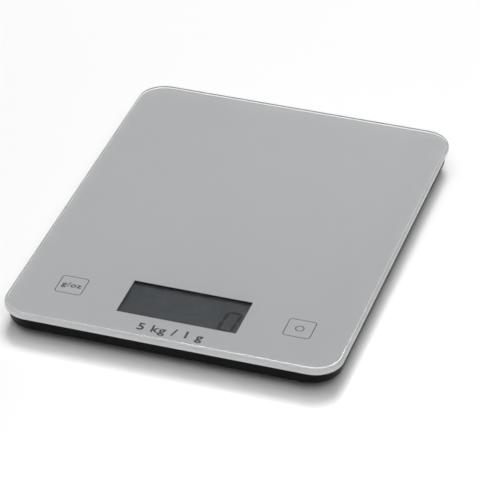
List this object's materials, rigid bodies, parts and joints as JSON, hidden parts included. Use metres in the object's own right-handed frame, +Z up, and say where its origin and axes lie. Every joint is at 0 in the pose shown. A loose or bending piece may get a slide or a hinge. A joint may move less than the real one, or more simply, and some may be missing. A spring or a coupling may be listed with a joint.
{
  "type": "kitchen scale",
  "caption": "Slim electronic kitchen scale: silver-backed glass platform with touch keys and a display window, on a black tray with weighing feet and a hinged battery cover.",
  "frame": {"origin": "on the worktop, under the middle of the platform", "axes": "+Z up, +Y away from the user along the platform's long side, +X to the user's right; the display is towards -Y"},
  "size_m": [0.18, 0.235, 0.0155],
  "materials": {
    "clear_glass": "clear toughened float glass with polished pencil edges",
    "silver_print": "fine silver screen print on the back of the glass",
    "smoked_window": "smoked translucent ink",
    "dark_print": "fine dark screen print",
    "tape": "black double-sided foam tape",
    "foam_pad": "adhesive foam",
    "black_abs": "satin black moulded plastic, fine spark texture",
    "board_green": "solder resist over glass-fibre laminate",
    "screw_steel": "zinc plated",
    "black_resin": "cured resin drop",
    "chip_black": "moulded package",
    "chip_ceramic": "sintered chip capacitors",
    "white_nylon": "moulded nylon",
    "lcd_glass": "reflective liquid crystal cell",
    "frame_black": "moulded, fine texture",
    "strip_rubber": "layered conductive silicone",
    "copper_film": "bright copper foil",
    "spring_gold": "gold-flashed spring wire",
    "cell_steel": "stamped, nickel plated",
    "white_silicone": "cured silicone",
    "retainer_white": "moulded",
    "lead_white": "extruded insulation",
    "lead_red": "extruded insulation",
    "lead_black": "extruded insulation",
    "coin_steel": "brushed stainless can",
    "contact_nickel": "nickel-plated spring strip",
    "cover_abs": "satin black moulded plastic, fine spark texture",
    "label_film": "blank grey polyester label",
    "plunger_abs": "moulded acetal",
    "foot_rubber": "matt moulded rubber"
  },
  "bodies": {
    "scale": {"adhesive_tape": "tape", "amplifier_chip": "chip_black", "base_tray": "black_abs", "battery_lead_black": "lead_black", "battery_lead_red": "lead_red", "board_parts": "chip_ceramic", "board_screws": "screw_steel", "cell_lead_back_left": "lead_white", "cell_lead_back_right": "lead_white", "cell_lead_front_left": "lead_white", "cell_lead_front_right": "lead_white", "cell_retainer_back_left": "retainer_white", "cell_retainer_back_right": "retainer_white", "cell_retainer_front_left": "retainer_white", "cell_retainer_front_right": "retainer_white", "circuit_board": "board_green", "coin_cell": "coin_steel", "contact_side": "contact_nickel", "contact_strip": "strip_rubber", "contact_top": "contact_nickel", "gauge_cover_back_left": "white_silicone", "gauge_cover_back_right": "white_silicone", "gauge_cover_front_left": "white_silicone", "gauge_cover_front_right": "white_silicone", "glass_pads": "foam_pad", "glass_platform": "clear_glass", "key_outlines": "dark_print", "lcd_cell": "lcd_glass", "lcd_frame": "frame_black", "lead_connectors": "white_nylon", "load_cell_back_left": "cell_steel", "load_cell_back_right": "cell_steel", "load_cell_front_left": "cell_steel", "load_cell_front_right": "cell_steel", "processor_drop": "black_resin", "rating_label": "label_film", "retainer_screws": "screw_steel", "silver_print": "silver_print", "smoked_window": "smoked_window", "touch_film_left": "copper_film", "touch_film_right": "copper_film", "touch_spring_left": "spring_gold", "touch_spring_right": "spring_gold"},
    "foot_front_left": {"foot_plunger_front_left": "plunger_abs", "foot_pad_front_left": "foot_rubber"},
    "foot_front_right": {"foot_plunger_front_right": "plunger_abs", "foot_pad_front_right": "foot_rubber"},
    "foot_back_left": {"foot_plunger_back_left": "plunger_abs", "foot_pad_back_left": "foot_rubber"},
    "foot_back_right": {"foot_plunger_back_right": "plunger_abs", "foot_pad_back_right": "foot_rubber"},
    "cover": {"battery_cover": "cover_abs"}
  },
  "joints": [
    {"name": "foot_press_front_left", "type": "slide", "parent": "scale", "child": "foot_front_left", "axis": [0, 0, 1], "range_m": [0, 0.0004], "stiffness_N_per_m": 200, "springref_m": -0.03, "deforming": ["load_cell_front_left"]},
    {"name": "foot_press_front_right", "type": "slide", "parent": "scale", "child": "foot_front_right", "axis": [0, 0, 1], "range_m": [0, 0.0004], "stiffness_N_per_m": 200, "springref_m": -0.03, "deforming": ["load_cell_front_right"]},
    {"name": "foot_press_back_left", "type": "slide", "parent": "scale", "child": "foot_back_left", "axis": [0, 0, 1], "range_m": [0, 0.0004], "stiffness_N_per_m": 200, "springref_m": -0.03, "deforming": ["load_cell_back_left"]},
    {"name": "foot_press_back_right", "type": "slide", "parent": "scale", "child": "foot_back_right", "axis": [0, 0, 1], "range_m": [0, 0.0004], "stiffness_N_per_m": 200, "springref_m": -0.03, "deforming": ["load_cell_back_right"]},
    {"name": "battery_cover_swing", "type": "hinge", "parent": "scale", "child": "cover", "pos_m": [0, -0.0022, 0.0037], "axis": [1, 0, 0], "range_deg": [0, 95]}
  ]
}
